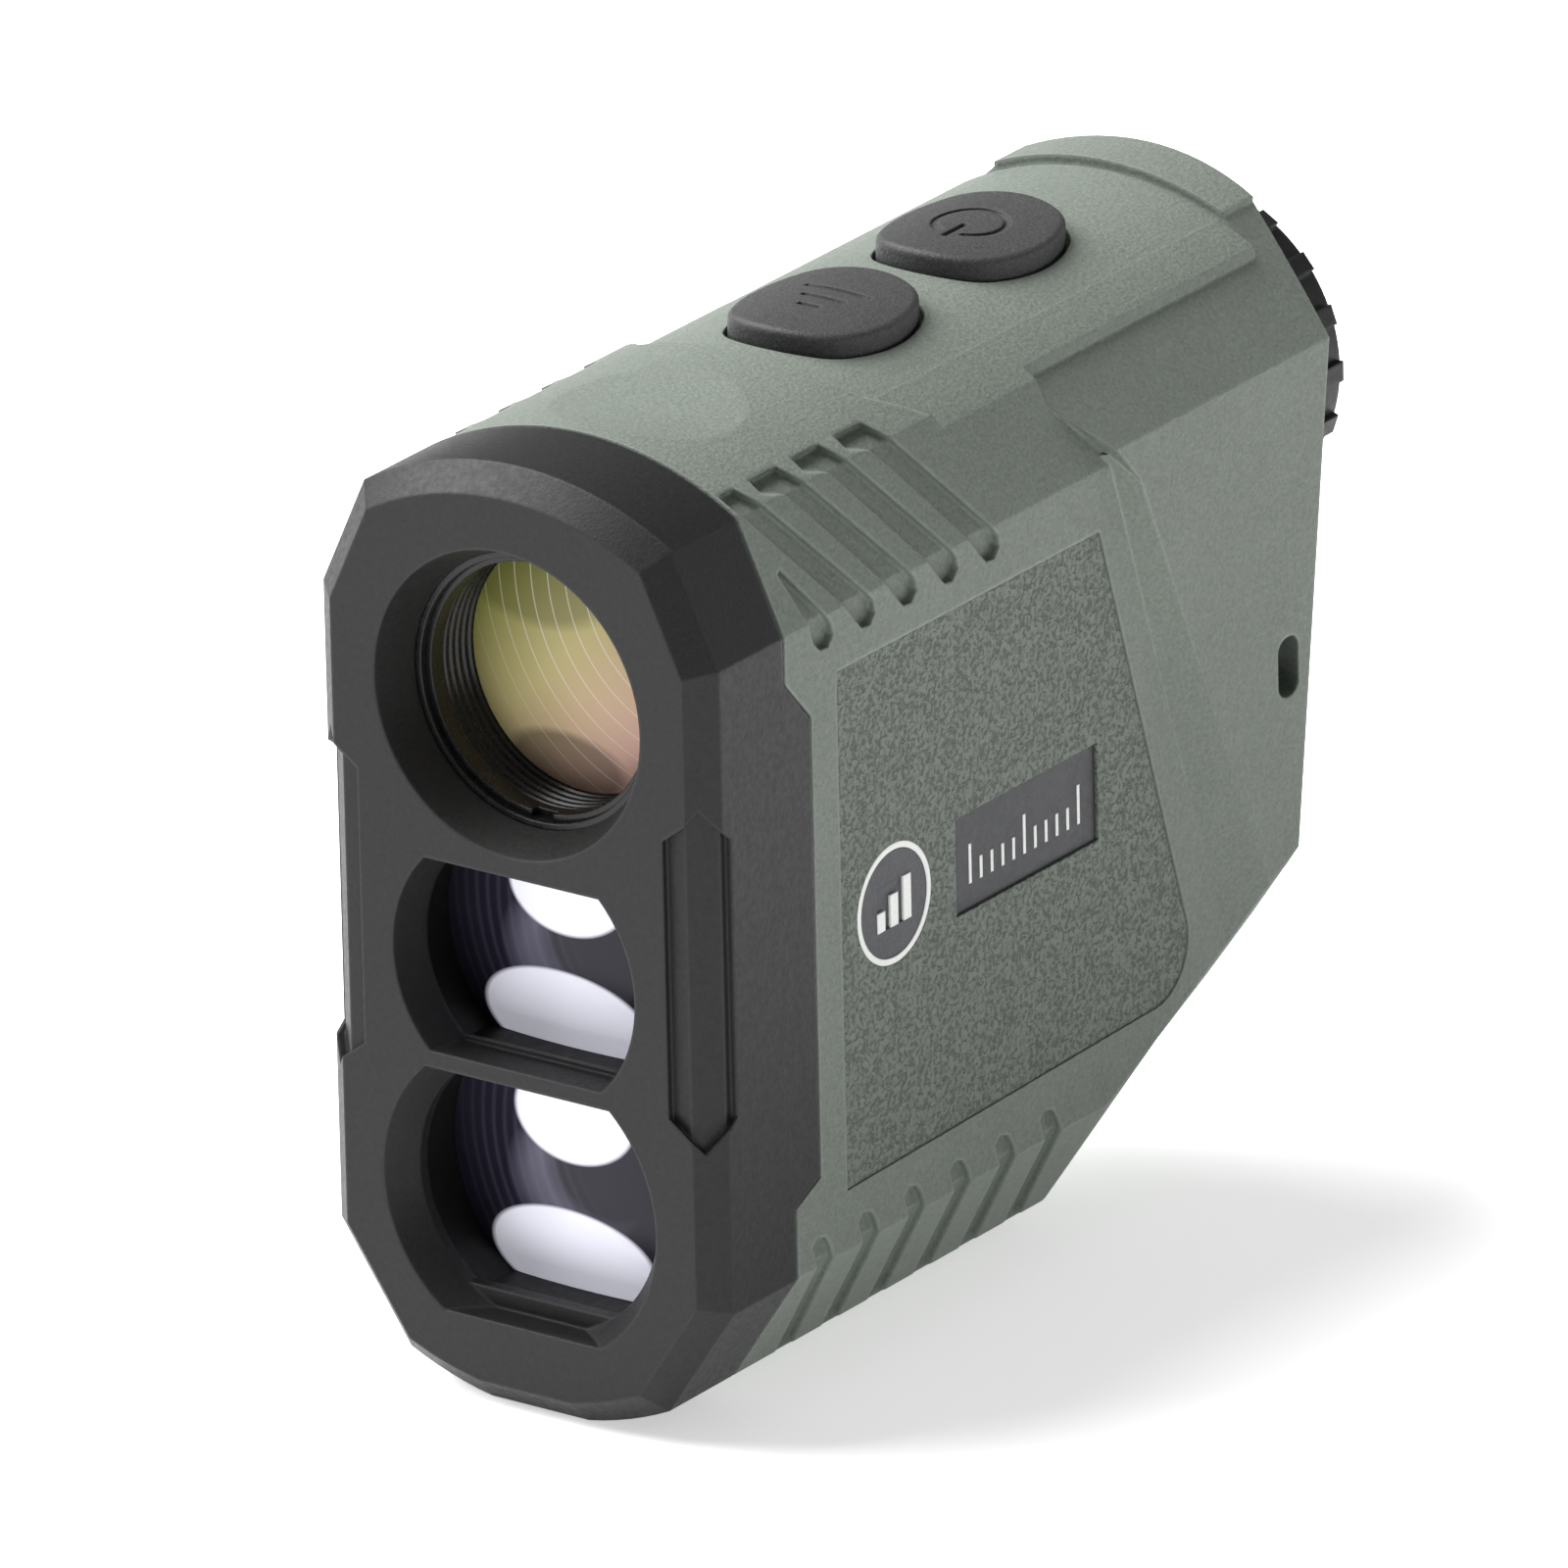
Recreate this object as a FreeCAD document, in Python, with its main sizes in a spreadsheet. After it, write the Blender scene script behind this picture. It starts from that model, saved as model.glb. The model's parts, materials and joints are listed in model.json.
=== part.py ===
import FreeCAD, Part
import math
import os
import re
import Sketcher
from FreeCAD import Placement, Rotation, Vector

# Compact laser rangefinder. X runs side to side, the lenses face -Y, Z is up.
# Depths are measured back from the front plane of the bezel, heights from the base.

SIZES = {
    # overall shell
    "overall_length": 93.0,
    "half_width": 18.14,
    "shell_top": 75.77,
    "top_arc": 27.2,
    "top_corner_x": 14.07,
    "top_corner_z": 71.85,
    "side_upper_z": 63.06,
    "side_lower_z": 11.6,
    "bottom_corner_x": 11.95,
    "bottom_corner_z": 2.41,
    "bottom_arc": 28.9,
    "base_half": 4.48,
    "grip_half_width": 19.47,
    # bezel
    "bezel_depth": 10.13,
    "gasket_thick": 0.3,
    "bevel": 2.05,
    "front_wall": 3.5,
    "flange_depth": 13.48,
    "flange_thick": 0.9,
    # rigid housing under the armour
    "core_half": 15.9,
    "core_base": 3.0,
    "core_top": 72.3,
    "wall": 1.4,
    # optics
    "eye_axis": 57.32,
    "middle_axis": 35.82,
    "lower_axis": 17.38,
    "barrel_radius": 12.2,
    "lens_bore": 10.45,
    # rear face
    "rear_radius": 75.0,
    "rear_apex": 83.5,
    "rear_lean": 7.3,
    # buttons
    "button_width": 13.0,
    "button_length": 14.9,
    "mode_depth": 41.6,
    "power_depth": 61.0,
    "button_proud": 0.79,
    "button_floor": 73.05,
    "button_gap": 0.25,
    # grip
    "slot_depth": 0.7,
    "slot_width": 2.4,
    "pad_thick": 0.8,
    "pad_sunk": 0.12,
    "pad_seam": 0.05,
    "badge_radius": 4.8,
    "badge_depth": 23.9,
    "badge_z": 37.3,
    # eyepiece and battery
    "eye_tube_radius": 11.2,
    "running_fit": 0.05,
    "ring_radius": 12.51,
    "lug_height": 0.6,
    "lug_count": 18,
    "battery_axis": 32.5,
    "cell_radius": 7.8,
    "battery_tube_radius": 9.6,
    "cap_radius": 9.6,
}

doc = FreeCAD.newDocument("LaserRangefinder")
sheet = doc.addObject("Spreadsheet::Sheet", "Sizes")
for row, (alias, number) in enumerate(SIZES.items(), 1):
    sheet.set(f"A{row}", alias)
    sheet.set(f"B{row}", str(number))
    sheet.setAlias(f"B{row}", alias)
doc.recompute()

ALONG_X = Vector(1, 0, 0)
ALONG_Y = Vector(0, 1, 0)
ALONG_Z = Vector(0, 0, 1)
PLANES = {
    "front": Rotation(ALONG_X, ALONG_Z, Vector(0, -1, 0), "ZXY"),
    "side": Rotation(ALONG_Y, ALONG_Z, ALONG_X, "ZXY"),
    "top": Rotation(),
}
nodes = []


# ---------------------------------------------------------------- helpers

def link(expression):
    """Point every size name in an expression at its spreadsheet cell."""
    def cell(match):
        word = match.group(0)
        return "Sizes." + word if word in SIZES else word
    return re.sub(r"[a-z][a-z_]*", cell, str(expression))


def value(expression):
    return float(sheet.evalExpression(link(expression)))


def bind(thing, prop, expression):
    thing.setExpression(prop, link(expression))


def deep(depth):
    """Y position of a depth behind the front plane."""
    return f"({depth}) - overall_length/2"


def box(name, x, depth, z):
    """Block between low and high x, depth and z."""
    solid = doc.addObject("Part::Box", name)
    y = (deep(depth[0]), deep(depth[1]))
    for axis, side, (low, high) in zip("xyz", ("Length", "Width", "Height"), (x, y, z)):
        bind(solid, "Placement.Base." + axis, low)
        bind(solid, side, f"({high}) - ({low})")
    return solid


def rod(name, radius, start, end, height):
    """Cylinder along Y between two depths."""
    solid = doc.addObject("Part::Cylinder", name)
    solid.Placement = Placement(Vector(), Rotation(ALONG_X, -90))
    bind(solid, "Radius", radius)
    bind(solid, "Height", f"({end}) - ({start})")
    bind(solid, "Placement.Base.y", deep(start))
    bind(solid, "Placement.Base.z", height)
    return solid


def cone(name, front_radius, rear_radius, start, end, height):
    solid = doc.addObject("Part::Cone", name)
    solid.Placement = Placement(Vector(), Rotation(ALONG_X, -90))
    bind(solid, "Radius1", front_radius)
    bind(solid, "Radius2", rear_radius)
    bind(solid, "Height", f"({end}) - ({start})")
    bind(solid, "Placement.Base.y", deep(start))
    bind(solid, "Placement.Base.z", height)
    return solid


def post(name, radius, x, depth, low, high):
    """Upright cylinder."""
    solid = doc.addObject("Part::Cylinder", name)
    bind(solid, "Radius", radius)
    bind(solid, "Height", f"({high}) - ({low})")
    bind(solid, "Placement.Base.x", x)
    bind(solid, "Placement.Base.y", deep(depth))
    bind(solid, "Placement.Base.z", low)
    return solid


def ball(name, radius, depth, height):
    solid = doc.addObject("Part::Sphere", name)
    bind(solid, "Radius", radius)
    bind(solid, "Placement.Base.y", deep(depth))
    bind(solid, "Placement.Base.z", height)
    return solid


def join(name, *solids):
    result = doc.addObject("Part::MultiFuse", name)
    result.Shapes = list(solids)
    return result


def group(name, *solids):
    result = doc.addObject("Part::Compound", name)
    result.Links = list(solids)
    return result


def cut(name, base, *tools):
    result = doc.addObject("Part::Cut", name)
    result.Base = base
    result.Tool = tools[0] if len(tools) == 1 else join(name + "_tools", *tools)
    return result


def common(name, first, second):
    result = doc.addObject("Part::Common", name)
    result.Base = first
    result.Tool = second
    return result


def mirrored(name, source):
    result = doc.addObject("Part::Mirroring", name)
    result.Source = source
    result.Normal = ALONG_X
    return result


def arc_centre(start, end, radius):
    """Centre of the arc that bulges to the right of the walk from start to end."""
    chord = end - start
    left = Vector(-chord.y, chord.x, 0).normalize()
    rise = math.sqrt(radius * radius - (chord.Length / 2) ** 2)
    return (start + end) * 0.5 + left * rise


def edge_between(start, end, radius):
    if not radius:
        return Part.LineSegment(start, end)
    centre = arc_centre(start, end, radius)
    first, last = (math.atan2(p.y - centre.y, p.x - centre.x) for p in (start, end))
    return Part.ArcOfCircle(Part.Circle(centre, ALONG_Z, radius), first, last)


def draw(sketch, corners):
    """Closed outline walked anticlockwise; a third item is the arc radius to the next corner."""
    points = [Vector(value(c[0]), value(c[1]), 0) for c in corners]
    count = len(corners)
    for i, corner in enumerate(corners):
        radius = value(corner[2]) if len(corner) > 2 else 0
        sketch.addGeometry(edge_between(points[i], points[(i + 1) % count], radius), False)
    for i in range(count):
        sketch.addConstraint(Sketcher.Constraint("Coincident", i, 2, (i + 1) % count, 1))
    for i, corner in enumerate(corners):
        for kind, number, expression in (
            ("DistanceX", points[i].x, corner[0]),
            ("DistanceY", points[i].y, corner[1]),
        ):
            pin = sketch.addConstraint(Sketcher.Constraint(kind, -1, 1, i, 1, number))
            sketch.setExpression(f"Constraints[{pin}]", link(expression))
        if len(corner) > 2:
            pin = sketch.addConstraint(Sketcher.Constraint("Radius", i, value(corner[2])))
            sketch.setExpression(f"Constraints[{pin}]", link(corner[2]))


def outline(name, plane, corners):
    """Sketch seen from the front (x, z), the side (depth, z) or the top (x, depth)."""
    sketch = doc.addObject("Sketcher::SketchObject", name)
    sketch.Placement = Placement(Vector(), PLANES[plane])
    if plane != "front":
        bind(sketch, "Placement.Base.y", deep(0))
    draw(sketch, corners)
    return sketch


def slab(name, sketch, direction, low, high):
    """Straight extrusion of a sketch between two positions along a direction."""
    solid = doc.addObject("Part::Extrusion", name)
    solid.Base = sketch
    solid.DirMode = "Custom"
    solid.Dir = direction
    solid.Solid = True
    bind(solid, "LengthFwd", high)
    bind(solid, "LengthRev", f"-({low})")
    return solid


def front_slab(name, corners, start, end):
    return slab(name, outline(name + "_line", "front", corners), ALONG_Y, deep(start), deep(end))


def side_slab(name, corners, low, high):
    return slab(name, outline(name + "_line", "side", corners), ALONG_X, low, high)


def top_slab(name, corners, low, high):
    return slab(name, outline(name + "_line", "top", corners), ALONG_Z, low, high)


def turned(name, profile, height):
    """Body of revolution about a Y axis; the profile is (radius, depth)."""
    body = doc.addObject("PartDesign::Body", name)
    plane = next(f for f in body.Origin.OriginFeatures if f.Role == "XY_Plane")
    sketch = body.newObject("Sketcher::SketchObject", name + "_profile")
    sketch.AttachmentSupport = [(plane, "")]
    sketch.MapMode = "FlatFace"
    draw(sketch, profile)
    spin = body.newObject("PartDesign::Revolution", name + "_spin")
    spin.Profile = sketch
    spin.ReferenceAxis = (sketch, ["V_Axis"])
    spin.Angle = 360
    bind(body, "Placement.Base.y", deep(0))
    bind(body, "Placement.Base.z", height)
    return body


def ring(name, inner, outer, start, end, height):
    corners = [(inner, start), (outer, start), (outer, end), (inner, end)]
    return turned(name, corners, height)


def softened(name, base, kind, amount, wanted):
    """Fillet or chamfer the edges that a test picks out."""
    doc.recompute()
    result = doc.addObject("Part::" + kind, name)
    result.Base = base
    reach = value(amount)
    picked = [i for i, edge in enumerate(base.Shape.Edges, 1) if wanted(edge)]
    result.Edges = [(i, reach, reach) for i in picked]
    return result


def keep(*things):
    nodes.extend(things)


# ---------------------------------------------------------------- outlines

def shell_corners(inset="0"):
    """Front view of the shell, moved inwards by an amount."""
    def at(x, x_rate, z, z_rate):
        return (f"{x} - {x_rate}*({inset})", f"{z} + {z_rate}*({inset})")
    right = [
        at("base_half", 0.16, "0", 1) + (f"bottom_arc - ({inset})",),
        at("bottom_corner_x", 0.673, "bottom_corner_z", 0.793),
        at("half_width", 1, "side_lower_z", 0.306),
        at("half_width", 1, "side_upper_z", -0.221),
        at("top_corner_x", 0.78, "top_corner_z", -0.697) + (f"top_arc - ({inset})",),
    ]
    left = [(f"-({c[0]})", c[1]) for c in reversed(right)]
    left[3] = left[3] + (f"bottom_arc - ({inset})",)
    return right + left


def both_sides(right):
    """Complete a symmetric outline from its right half, walked upwards."""
    return right + [(f"-({x})", z) for x, z in reversed(right)]


def core_corners(inset):
    return both_sides([
        (f"9.5 - 0.5*{inset}", f"core_base + {inset}"),
        (f"core_half - {inset}", f"12.6 + 0.3*{inset}"),
        (f"core_half - {inset}", f"62.5 - 0.28*{inset}"),
        (f"12.2 - 0.8*{inset}", f"69.2 - 0.65*{inset}"),
        (f"8.6 - 0.36*{inset}", f"core_top - {inset}"),
    ])


def core_block(name, inset, front):
    """Rigid housing volume, or its cavity when moved inwards by the wall."""
    section = front_slab(name + "_section", core_corners(inset), front, "82")
    run = side_slab(name + "_run", [
        ("1", "-1"),
        (f"49.6 - 0.4*{inset}", "-1"),
        (f"49.6 - 0.4*{inset}", f"2 + {inset}"),
        (f"57.3 - 0.5*{inset}", f"16.2 + {inset}"),
        (f"67.3 - 0.3*{inset}", f"18 + {inset}"),
        (f"72.4 - 0.8*{inset}", f"21.2 + 0.6*{inset}"),
        (f"79.1 - {inset}", "74"),
        ("1", "74"),
    ], "-25", "25")
    return common(name, section, run)


# ---------------------------------------------------------------- bezel

def window(name, axis, outer, inner, upper, lower, depth):
    """Funnel-shaped opening with flat top and bottom, and the bore behind it."""
    funnel = cone(name + "_funnel", outer, inner, "-0.01", depth, axis)
    mouth = box(name + "_mouth", ("-20", "20"), ("-1", "6"), (lower[0], upper[0]))
    bore = rod(name + "_bore", inner, f"{depth} - 0.01", "6", axis)
    throat = box(name + "_throat", ("-20", "20"), ("-1", "6"), (lower[1], upper[1]))
    return join(name, common(name + "_wide", funnel, mouth), common(name + "_deep", bore, throat))


def edge_recess(name):
    """Shallow hex-ended recess wrapped over the right front edge."""
    steps = outline(name + "_steps", "top", [
        ("14", "0.6"), ("14", "-1"), ("20", "-1"), ("20", "3.1"),
        ("half_width - 0.6", "3.1"), ("half_width - 0.6", "bevel + 0.4"), ("half_width - bevel - 0.4", "0.6"),
    ])
    column = slab(name + "_column", steps, ALONG_Z, "20", "56")
    shape = doc.addObject("Sketcher::SketchObject", name + "_shape")
    across = Vector(1, 1, 0).normalize()
    out = Vector(1, -1, 0).normalize()
    shape.Placement = Placement(Vector(), Rotation(across, ALONG_Z, out, "ZXY"))
    bind(shape, "Placement.Base.x", "half_width")
    bind(shape, "Placement.Base.y", deep(0))
    draw(shape, [
        ("-2.93", "27.3"), ("-0.37", "24.6"), ("2.19", "27.3"),
        ("2.19", "49.4"), ("-0.37", "52.1"), ("-2.93", "49.4"),
    ])
    return common(name, column, slab(name + "_hexagon", shape, out, "-4", "4"))


def flange(name, gap):
    """Side tongue of the bezel that reaches back over the armour."""
    return side_slab(name, [
        ("bezel_depth - 0.5", f"17.26 - {gap}"),
        ("bezel_depth", f"17.26 - {gap}"),
        (f"flange_depth + {gap}", f"18.87 - {gap}"),
        (f"flange_depth + {gap}", f"55.59 + {gap}"),
        ("bezel_depth", f"59.43 + {gap}"),
        ("bezel_depth - 0.5", f"59.43 + {gap}"),
    ], "half_width - flange_thick", f"half_width + {gap}")


def build_bezel():
    face = outline("bezel_face", "front", shell_corners("bevel"))
    edge = outline("bezel_edge", "front", shell_corners())
    bind(face, "Placement.Base.y", deep(0))
    bind(edge, "Placement.Base.y", deep("bevel"))
    bevelled = doc.addObject("Part::Loft", "bezel_bevelled")
    bevelled.Sections = [face, edge]
    bevelled.Solid = True
    bevelled.Ruled = True
    block = front_slab("bezel_block", shell_corners(), "bevel", "bezel_depth")
    right = flange("bezel_flange", "0")
    body = join("bezel_body", bevelled, block, right, mirrored("bezel_flange_left", right))
    hollow = front_slab("bezel_hollow", core_corners("0"), "front_wall", "20")
    top_funnel = cone("top_window_funnel", "12.2", "10.91", "-0.01", "3.45", "eye_axis")
    top_bore = rod("top_window_bore", "10.91", "3.4", "6", "eye_axis")
    middle = window("middle_window", "middle_axis", "11.13", "10.43",
                    ("43.53", "43.1"), ("27.95", "28.4"), "3.2")
    lower = window("lower_window", "lower_axis", "12.58", "11",
                   ("26.62", "25.9"), ("7.12", "8.6"), "2.5")
    recess = edge_recess("edge_recess")
    keep(cut("front_bezel", body, hollow, top_funnel, top_bore, middle, lower,
             recess, mirrored("edge_recess_left", recess)))
    seal = front_slab("gasket_block", shell_corners("0.35"), "bezel_depth", "bezel_depth + gasket_thick")
    inside = front_slab("gasket_inside", core_corners("0"), "5", "20")
    notch = flange("gasket_notch", "0")
    keep(cut("bezel_gasket", seal, inside, notch, mirrored("gasket_notch_left", notch)))


# ---------------------------------------------------------------- armour

def cheek():
    """Thicker rear half of the grip on the right: a step on the shoulder, a slanted strip below it."""
    inner = outline("cheek_inner", "side", [("49.35", "7"), ("90", "7"), ("90", "64"), ("47.3", "64")])
    outer = outline("cheek_outer", "side", [("72.7", "19.6"), ("90", "19.6"), ("90", "64"), ("54.1", "64")])
    bind(inner, "Placement.Base.x", "13")
    bind(outer, "Placement.Base.x", "grip_half_width")
    loft = doc.addObject("Part::Loft", "cheek_side")
    loft.Sections = [inner, outer]
    loft.Solid = True
    loft.Ruled = True
    step = side_slab("cheek_step", [("56.5", "59.7"), ("90", "59.7"), ("90", "73"), ("45", "73")],
                     "13", "grip_half_width")
    return join("cheek", loft, step)


def facet_above(name, x, start, end):
    """Everything outside the sloping facet of the grip, from x outwards."""
    rise = f"(73.22 - 0.938*({x} - 10.6))"
    return front_slab(name, [(x, rise), ("24.2", "60.46"), ("24.2", "82"), (x, "82")], start, end)


def top_cuts():
    """Recessed button panel, its sloping sides, and the facets behind the thumb ledge."""
    floor = [("-16.5", "80"), ("-16.5", "69.5"), ("-13.5", "69.75"), ("-10.2", "73"), ("10.2", "73"),
             ("13.5", "69.75"), ("16.5", "69.5"), ("16.5", "80")]
    over = front_slab("panel_section", floor, "20", "48.6")
    narrow = [("-13.5", "80"), ("-13.5", "69.75"), ("-10.2", "73"), ("10.2", "73"),
              ("13.5", "69.75"), ("13.5", "80")]
    behind = front_slab("panel_rear_section", narrow, "48.5", "79.3")
    hump = rod("panel_hump", "27.15", "19", "80.3", "74.96 - 27.15")
    raised = cut("panel_raised", join("panel_length", over, behind), hump)
    plan = top_slab("panel_plan", [
        ("-10.2", "32", "33.5"), ("10.2", "32"), ("16.6", "38"), ("16.6", "82"), ("-16.6", "82"), ("-16.6", "38"),
    ], "60", "90")
    facet = facet_above("facet", "13.5", "48.5", "79.3")
    rim_facet = facet_above("rim_facet", "10.6", "79.3", "90")
    return common("panel_cut", raised, plan), facet, rim_facet


def grip_slots():
    """Slanted finger slots over the upper and lower edges of the grip."""
    bars = []
    half = "slot_width/2"
    for i in range(4):
        top = f"({12.3 + 5.5*i})"
        low = f"({20.7 + 5.4*i})"
        bars.append(side_slab(f"upper_slot_{i}", [
            (f"{low} - 0.95*{half}", "61.4"), (f"{low} - 0.3*{half}", "60.6"), (f"{low} + 0.6*{half}", "60.5"),
            (f"{low} + 1.2*{half}", "61.3"), (f"{low} + 1.1*{half}", "62.2"), (f"{top} + {half}", "72"),
            (f"{top} + 0.4*{half}", "72.9"), (f"{top} - 2.6*{half}", "72.9"), (f"{top} - 2.8*{half}", "72.2"),
            (f"{top} - {half}", "71.6"),
        ], "-25", "25"))
    bars.append(side_slab("upper_slot_short", [
        ("14.1", "61.4"), ("14.9", "60.6"), ("16", "60.5"), ("16.7", "61.3"), ("16.5", "62.2"),
        ("12.8", "67.3"), ("12.3", "67.1"),
    ], "-25", "25"))
    for i in range(6):
        top = f"({13.6 + 5.98*i})"
        low = f"({17.2 + 6.04*i})"
        bars.append(side_slab(f"lower_slot_{i}", [
            (f"{low} - {half}", "1.6"), (f"{low} + {half}", "1.6"), (f"{top} + 0.95*{half}", "12.7"),
            (f"{top} + 0.4*{half}", "13.7"), (f"{top} - 0.5*{half}", "14"), (f"{top} - 1.1*{half}", "13.4"),
        ], "-25", "25"))
    skin = cut("slot_skin",
               front_slab("slot_skin_outer", shell_corners("-0.5"), "bezel_depth + 0.6", "60"),
               front_slab("slot_skin_inner", shell_corners("slot_depth"), "bezel_depth", "61"))
    gate = join("slot_gate",
                box("slot_gate_right", ("bottom_corner_x - 0.3", "25"), ("5", "70"), ("-1", "80")),
                box("slot_gate_left", ("-25", "-(bottom_corner_x - 0.3)"), ("5", "70"), ("-1", "80")))
    return common("grip_slots", common("slot_bars", join("slot_bar_set", *bars), skin), gate)


def underside():
    """Space under the rear of the grip."""
    return side_slab("underside", [
        ("51.3", "-5"), ("90", "-5"), ("90", "23"), ("74.9", "23"), ("73.5", "19.5"),
        ("67.7", "16.3"), ("58.4", "14.5"), ("51.3", "0"),
    ], "-30", "30")


def corner_bevel(name):
    """Half space that bevels the lower right edge towards the rear."""
    block = doc.addObject("Part::Box", name)
    normal = Vector(0.803, 0.252, -0.54)
    spot = Vector(value("half_width"), value(deep("51.06")), value("side_lower_z"))
    turn = Rotation(ALONG_Z, normal)
    bind(block, "Length", "90")
    bind(block, "Width", "90")
    bind(block, "Height", "20")
    block.Placement = Placement(spot, turn) * Placement(Vector(-45, -45, 0), Rotation())
    return block


def rear_round():
    """Leaning cylinder whose back is the curved rear face."""
    solid = doc.addObject("Part::Cylinder", "rear_round")
    lean = value("rear_lean")
    solid.Placement = Placement(Vector(), Rotation(ALONG_X, -lean))
    bind(solid, "Radius", "rear_radius")
    bind(solid, "Height", "140")
    apex = value(deep("rear_apex - rear_radius"))
    down = 100
    solid.Placement.Base = Vector(0, apex - down * math.sin(math.radians(lean)),
                                  73 - down * math.cos(math.radians(lean)))
    return solid


def thumb_dimple():
    """Shallow saddle on the crown in front of the buttons."""
    solid = doc.addObject("Part::Torus", "thumb_dimple")
    solid.Placement = Placement(Vector(), Rotation(ALONG_X, 90))
    bind(solid, "Radius1", "60 + 42")
    bind(solid, "Radius2", "42")
    bind(solid, "Placement.Base.y", deep("18.8"))
    bind(solid, "Placement.Base.z", "shell_top - 0.6 - 60")
    return solid


def pad_corners(grow):
    return [
        (f"17 - {grow}", f"16.5 - {grow}"),
        (f"58 + 0.5*{grow}", f"17.3 - {grow}", f"4.6 + {grow}"),
        (f"62.2 + {grow}", "22.7"),
        (f"51.4 + 1.1*{grow}", f"58.15 + {grow}"),
        (f"17 - {grow}", f"58.15 + {grow}"),
    ]


def lanyard_slot(name):
    """Rounded strap slot that runs from the right side to the rear face."""
    block = doc.addObject("Part::Box", name + "_run")
    bind(block, "Length", "18")
    bind(block, "Width", "2.4")
    bind(block, "Height", "4.9")
    spot = Vector(value("grip_half_width"), value(deep("74.3")), 40)
    turn = Rotation(ALONG_Z, 150)
    block.Placement = Placement(spot, turn) * Placement(Vector(-5, -1.2, -2.45), Rotation())
    return softened(name, block, "Fillet", "1.1", lambda edge: edge.Length > 10)


def key_opening(name, depth):
    """Button hole through the armour and the pocket for its retaining tabs."""
    hole = key_shape(name + "_hole", depth, "button_gap", "core_top - 1", "80")
    pocket = box(name + "_pocket", ("-3.3", "3.3"),
                 (f"{depth} - button_length/2 - 1.3", f"{depth} + button_length/2 + 1.3"),
                 ("core_top - 1", "74"))
    return join(name, hole, pocket)


def build_armour():
    block = front_slab("armour_block", shell_corners(), "bezel_depth + gasket_thick", "90")
    panel, facet, rim_facet = top_cuts()
    shoulder = cut("armour_shoulder", block, panel, facet, mirrored("facet_left", facet))
    right_cheek = cut("cheek_right", cheek(), facet_above("cheek_facet", "10.6", "40", "95"),
                      box("cheek_strip", ("12", "13.5"), ("40", "95"), ("64", "80")))
    whole = join("armour_whole", shoulder, right_cheek, mirrored("cheek_left", right_cheek))
    rounded = common("armour_rounded", whole, rear_round())
    bevel = corner_bevel("corner_bevel")
    strap = lanyard_slot("lanyard_slot")
    pad = side_slab("pad_pocket", pad_corners("pad_seam"), "half_width - pad_thick - pad_sunk", "25")
    pad_half = common("pad_pocket_near", pad, box("pad_pocket_limit", ("0", "half_width + 0.5"),
                                                  ("10", "64"), ("10", "62")))
    tongue = flange("flange_seat", "0.15")
    core = core_block("core_volume", "0", "5")
    keep(cut(
        "armour_sleeve", rounded, core, underside(), bevel, mirrored("corner_bevel_left", bevel),
        thumb_dimple(), grip_slots(), rim_facet, mirrored("rim_facet_left", rim_facet),
        strap, mirrored("lanyard_slot_left", strap), pad_half, mirrored("pad_pocket_left", pad_half),
        tongue, mirrored("flange_seat_left", tongue),
        key_opening("mode_opening", "mode_depth"), key_opening("power_opening", "power_depth"),
        rod("eyepiece_hole", "12", "60", "95", "eye_axis"),
        rod("eyepiece_recess", "13.7", "81.9", "95", "eye_axis"),
        rod("battery_hole", "battery_tube_radius + 0.1", "60", "90", "battery_axis"),
        rod("battery_recess", "cap_radius + 0.5", "76", "90", "battery_axis"),
    ))


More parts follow.
